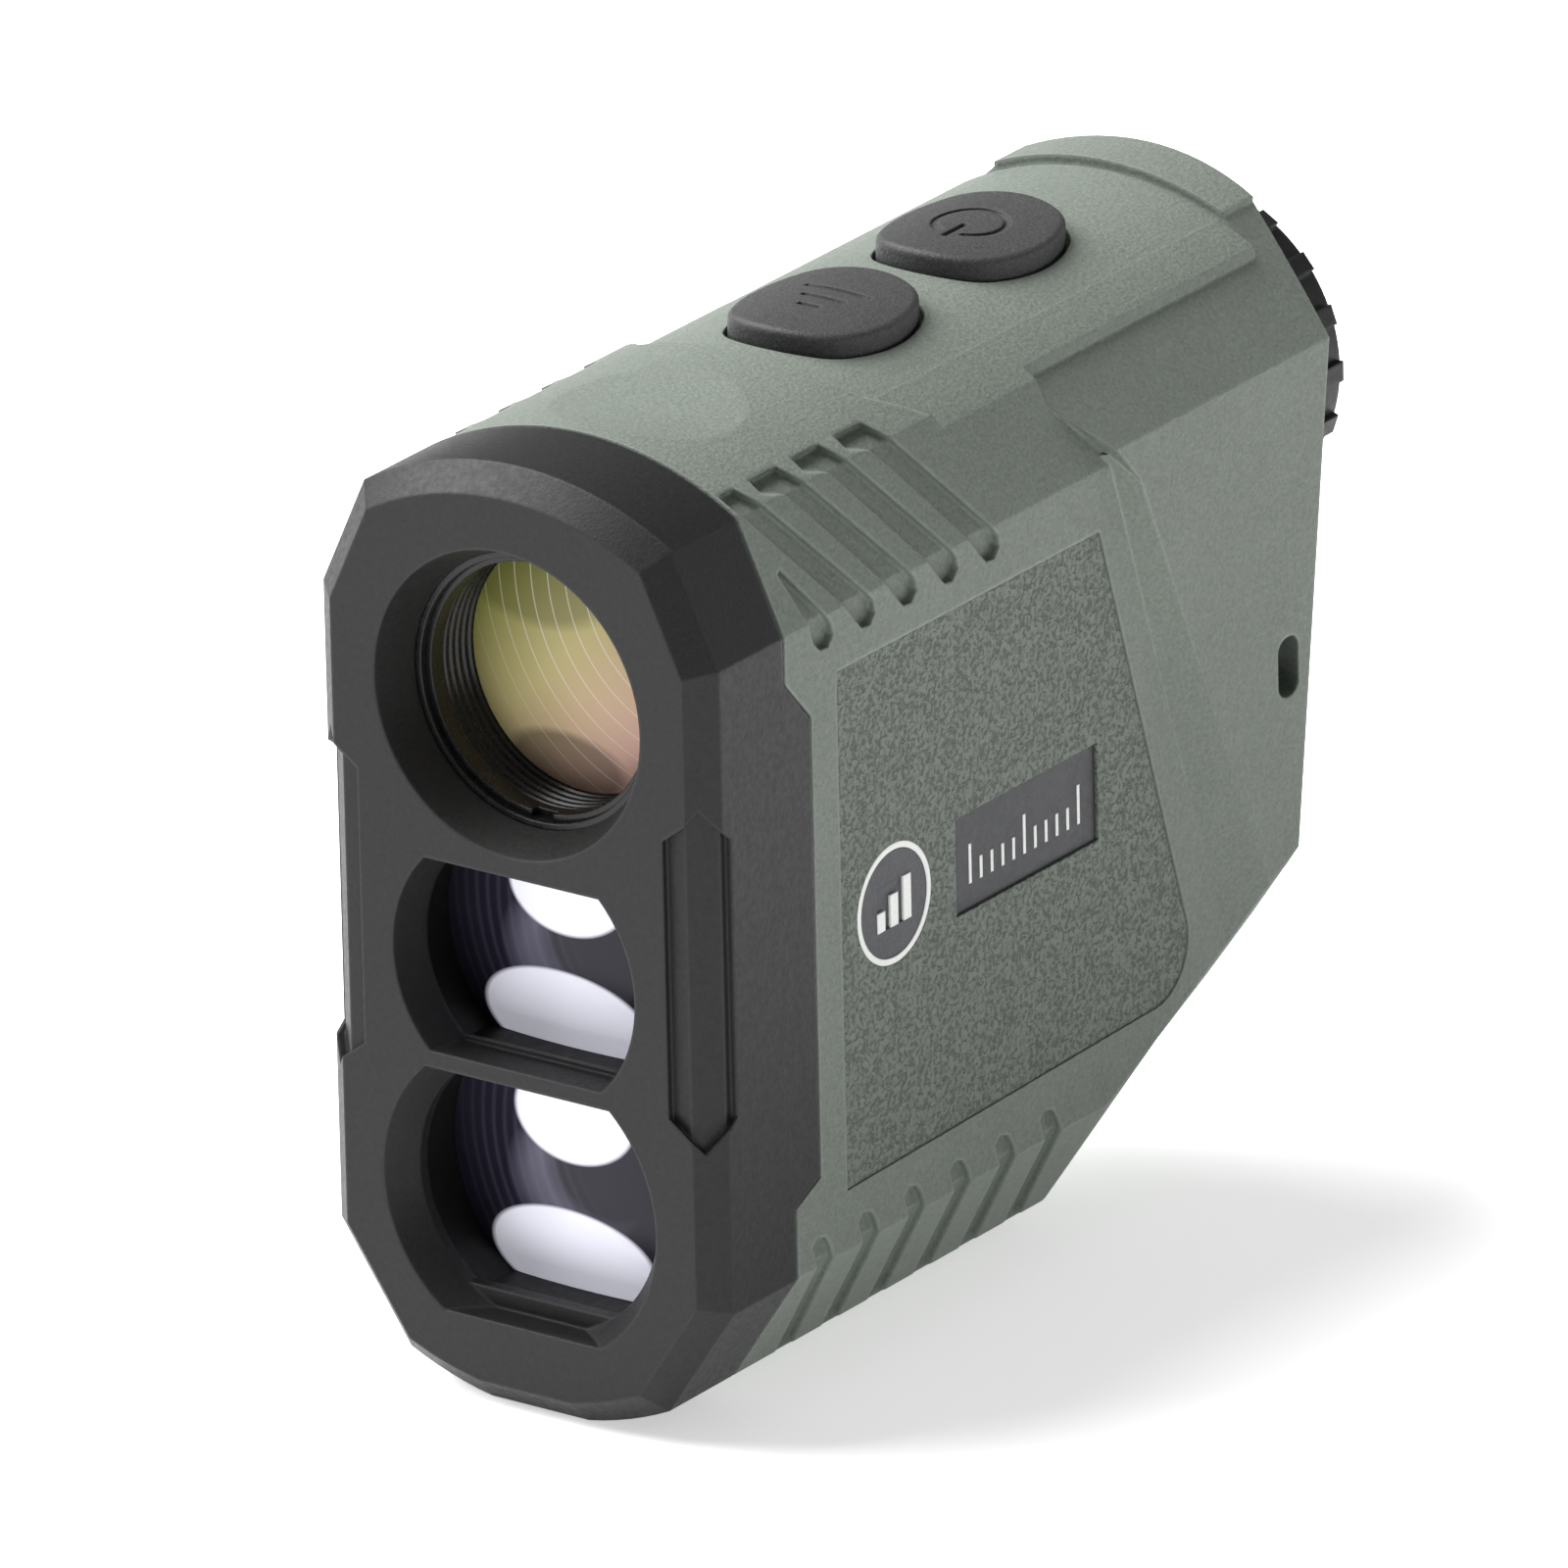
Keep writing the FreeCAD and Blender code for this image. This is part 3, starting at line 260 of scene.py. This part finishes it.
def reflected_arcs(n, dx, dz, per_m, width):
    """Fine bright circles about a point, for painted reflections, and the distance from it."""
    radius = n.math("SQRT", n.math("ADD", n.math("MULTIPLY", dx, dx), n.math("MULTIPLY", dz, dz)))
    rings = n.math("FRACT", n.math("MULTIPLY", radius, per_m))
    line = n.ramp(n.math("ABSOLUTE", n.math("SUBTRACT", rings, 0.5)), 0.0, width, 1.0, 0.0)
    return line, radius


def patch(n, x, z, centre, half, soft):
    """White inside an ellipse, fading at its rim; centre and half sizes are in mm from the lens axis."""
    dx = n.math("DIVIDE", n.math("SUBTRACT", x, centre[0] * MM), half[0] * MM)
    dz = n.math("DIVIDE", n.math("SUBTRACT", z, centre[1] * MM), half[1] * MM)
    size = n.math("ADD", n.math("MULTIPLY", dx, dx), n.math("MULTIPLY", dz, dz))
    return n.ramp(size, 1 - soft, 1.0, 1.0, 0.0)


def coated_lens(name, axis_height, reflection_tints, arc_reflection_tint):
    """Coated glass with its reflections painted in: reflected colours run across the lens, with two dark
    bands and faint concentric arcs about an off-centre point.
    """
    n = Nodes(name, 0.05)
    first, second, third = reflection_tints
    x = n.axis("X")
    z = n.math("SUBTRACT", n.axis("Z"), axis_height * MM)
    # Painted reflection: the coating's reflected colours shade from one side of the lens to the other.
    across = n.math("SUBTRACT", n.math("MULTIPLY", x, 55.0), n.math("MULTIPLY", z, 60.0))
    colour = n.mix(n.ramp(across, -0.75, -0.1), first, second)
    colour = n.mix(n.ramp(across, -0.1, 0.6), colour, third)
    # Painted dark reflections: two darker bands across the lens.
    dark_reflection_band = patch(n, x, z, centre=(-4.0, 5.5), half=(7.5, 3.0), soft=0.5)
    colour = n.mix(n.math("MULTIPLY", dark_reflection_band, 0.45), colour, tuple(c * 0.35 for c in first))
    low_dark_reflection_band = patch(n, x, z, centre=(-1.5, -8.2), half=(6.0, 3.2), soft=0.4)
    colour = n.mix(n.math("MULTIPLY", low_dark_reflection_band, 0.6), colour, (0.06, 0.05, 0.035))
    # Painted reflection: faint bright arcs about an off-centre point.
    dx = n.math("SUBTRACT", x, 14 * MM)
    dz = n.math("SUBTRACT", z, 10 * MM)
    line, radius = reflected_arcs(n, dx, dz, per_m=620.0, width=0.05)
    reach = n.math("MULTIPLY", n.ramp(radius, 0.008, 0.012), n.ramp(radius, 0.027, 0.020))
    colour = n.mix(n.math("MULTIPLY", n.math("MULTIPLY", line, reach), 0.5), colour, arc_reflection_tint)
    haze = n.noise(0.2, 2.0)
    return n.surface(colour, n.ramp(haze, 0, 1, 0.3, 0.4), Specular_IOR_Level=0.15)


def laser_lens(name, upper_axis, lower_axis):
    """Dark violet coated glass with painted reflections on each lens: two pale patches that also glow, a
    faint paler crescent, and faint arcs.
    """
    n = Nodes(name, 0.05)
    x = n.axis("X")
    height = n.axis("Z")
    is_upper = n.math("GREATER_THAN", height, (upper_axis + lower_axis) / 2 * MM)
    z_low = n.math("SUBTRACT", height, lower_axis * MM)
    z = n.math("SUBTRACT", z_low, n.math("MULTIPLY", is_upper, (upper_axis - lower_axis) * MM))
    haze = n.noise(0.15, 2.0)
    # Painted reflection: faint bright arcs about an off-centre point.
    dx = n.math("SUBTRACT", x, 9 * MM)
    dz = n.math("SUBTRACT", z, 3 * MM)
    line, radius = reflected_arcs(n, dx, dz, per_m=900.0, width=0.3)
    colour = n.mix(haze, (0.012, 0.010, 0.020), (0.028, 0.025, 0.042))
    reach = n.math("MULTIPLY", n.ramp(radius, 0.009, 0.012), n.ramp(radius, 0.022, 0.018))
    colour = n.mix(n.math("MULTIPLY", n.math("MULTIPLY", line, reach), 0.2), colour, (0.14, 0.14, 0.20))
    # Painted reflection: a faint paler crescent to one side of each lens.
    outer = patch(n, x, z, centre=(-0.5, -1.0), half=(6.5, 5.5), soft=0.6)
    inner = patch(n, x, z, centre=(2.5, 0.5), half=(6.0, 5.5), soft=0.5)
    reflection_crescent = n.math("MULTIPLY", outer, n.math("SUBTRACT", 1.0, inner))
    colour = n.mix(n.math("MULTIPLY", reflection_crescent, 0.4), colour, (0.30, 0.29, 0.40))
    # Painted reflections: an upper and a lower pale patch on each lens, laced with the arcs.
    pale = n.mix(n.math("MULTIPLY", line, 0.12), (0.86, 0.86, 0.97), (0.60, 0.60, 0.76))
    glow = (0, 0, 0)
    is_lower = n.math("SUBTRACT", 1.0, is_upper)
    raised_z = n.math("SUBTRACT", z, n.math("MULTIPLY", is_lower, -0.9 * MM))
    upper_reflection = patch(n, x, z, centre=(-0.5, 4.3), half=(5.7, 4.0), soft=0.14)
    lower_reflection = patch(n, x, raised_z, centre=(-1.3, -6.6), half=(7.8, 4.1), soft=0.14)
    for reflection_spot in (upper_reflection, lower_reflection):
        colour = n.mix(reflection_spot, colour, pale)
        glow = n.mix(reflection_spot, glow, pale)
    # Emission makes the painted reflections glow.
    return n.surface(colour, n.ramp(haze, 0, 1, 0.2, 0.3), Specular_IOR_Level=0.2,
                     Emission_Color=glow, Emission_Strength=0.32)


def clear_glass(name, tint):
    """Clear glass with a faint haze."""
    n = Nodes(name)
    haze = n.noise(0.3, 2.0)
    return n.surface(n.mix(haze, tint, tuple(c * 0.92 for c in tint)), n.ramp(haze, 0, 1, 0.02, 0.06),
                     Transmission_Weight=0.9, IOR=1.52)


def board(name):
    """Circuit board: dark green with paler tracks along the cell borders."""
    n = Nodes(name)
    line = n.ramp(n.cell_borders(0.35), 0.02, 0.05)
    return n.surface(n.mix(line, (0.10, 0.32, 0.14), (0.01, 0.11, 0.045)), n.ramp(line, 0, 1, 0.35, 0.5),
                     normal=n.bump(line, 0.03, 0.5))


def build_materials():
    """One material for each slot in the record."""
    return {
        "rubber_armour": grained("sage_rubber", (0.104, 0.120, 0.102), (0.188, 0.214, 0.186),
                                 per_mm=3.0, depth=0.12, rough=0.66,
                                 edge_highlight=(0.30, 0.335, 0.30), corner=0.45),
        "pad_rubber": pebbled("sage_pebbled", (0.088, 0.101, 0.086), (0.120, 0.138, 0.118),
                              (0.158, 0.181, 0.155)),
        "bezel_plastic": grained("charcoal_satin", (0.006, 0.006, 0.0062), (0.014, 0.014, 0.0143),
                                 per_mm=4.0, depth=0.03, rough=0.5,
                                 edge_highlight=(0.042, 0.042, 0.043), corner=0.35),
        "gasket_rubber": grained("black_seal", (0.004, 0.004, 0.004), (0.01, 0.01, 0.01),
                                 per_mm=3.0, depth=0.02, rough=0.7),
        "key_rubber": grained("key_rubber", (0.020, 0.020, 0.021), (0.062, 0.062, 0.063),
                              per_mm=4.2, depth=0.08, rough=0.5,
                              edge_highlight=(0.06, 0.06, 0.062), speck=0.6, corner=0.4),
        "badge_dark": grained("badge_dark", (0.035, 0.036, 0.040), (0.075, 0.076, 0.082),
                              per_mm=3.5, depth=0.03, rough=0.5),
        "mark_white": grained("printed_white", (0.62, 0.63, 0.61), (0.78, 0.79, 0.77),
                              per_mm=5.0, depth=0.01, rough=0.5),
        "plate_dark": grained("plate_dark", (0.022, 0.023, 0.026), (0.050, 0.051, 0.056),
                              per_mm=4.0, depth=0.03, rough=0.5),
        "housing_plastic": grained("filled_black", (0.006, 0.006, 0.006), (0.014, 0.014, 0.014),
                                   per_mm=2.5, depth=0.02, rough=0.5),
        "black_alloy": metal("black_anodised", (0.006, 0.006, 0.0065), (0.018, 0.018, 0.019),
                             rough=0.24, metallic=0.5),
        "coated_glass": coated_lens("coated_lens", OBJECTIVE_AXIS,
                                    ((0.21, 0.22, 0.055), (0.50, 0.43, 0.20), (0.72, 0.46, 0.37)),
                                    (0.9, 0.85, 0.8)),
        "laser_glass": laser_lens("laser_lens", RECEIVER_AXIS, EMITTER_AXIS),
        "prism_glass": clear_glass("prism_glass", (0.9, 0.96, 0.94)),
        "eyecup_rubber": grained("eyecup_rubber", (0.008, 0.008, 0.008), (0.02, 0.02, 0.02),
                                 per_mm=3.0, depth=0.03, rough=0.75),
        "board_green": board("circuit_board"),
        "chip_black": grained("moulded_chip", (0.01, 0.01, 0.01), (0.03, 0.03, 0.03),
                              per_mm=6.0, depth=0.01, rough=0.45),
        "steel": metal("plated_steel", (0.45, 0.45, 0.46), (0.7, 0.7, 0.71), rough=0.28),
        "brass_part": metal("gold_plated", (0.55, 0.38, 0.12), (0.85, 0.62, 0.25), rough=0.25),
        "cell_wrap": grained("cell_sleeve", (0.02, 0.05, 0.16), (0.04, 0.09, 0.26),
                             per_mm=1.0, depth=0.01, rough=0.3),
        "silicone": grained("grey_silicone", (0.30, 0.30, 0.30), (0.45, 0.45, 0.45),
                            per_mm=3.0, depth=0.02, rough=0.55),
    }


def crisp_edges(part):
    """Flat faces stay flat beside their edges; only curved faces are shaded smooth."""
    split = part.modifiers.new("split", "EDGE_SPLIT")
    split.split_angle = math.radians(BROAD_SPLIT if part.name in BROAD_PIECES else FINE_SPLIT)
    split.use_edge_sharp = False


def dress_nodes(materials):
    """Give every CAD node the material of its slot."""
    slots = {part["node"]: part["material_slot"] for part in frame["record"]["subparts"]}
    for name, piece in frame["nodes"].items():
        material = materials[slots[name]]
        if not piece.material_slots:
            piece.data.materials.append(material)
        for holder in piece.material_slots:
            holder.material = material


add_camera()
bpy.context.scene.view_settings.view_transform = "Standard"
add_world(0.3)
add_sun(azimuth=-80, elevation=50, spread=55, strength=7.2)
add_floor()
dress_nodes(build_materials())
for part in frame["nodes"].values():
    crisp_edges(part)
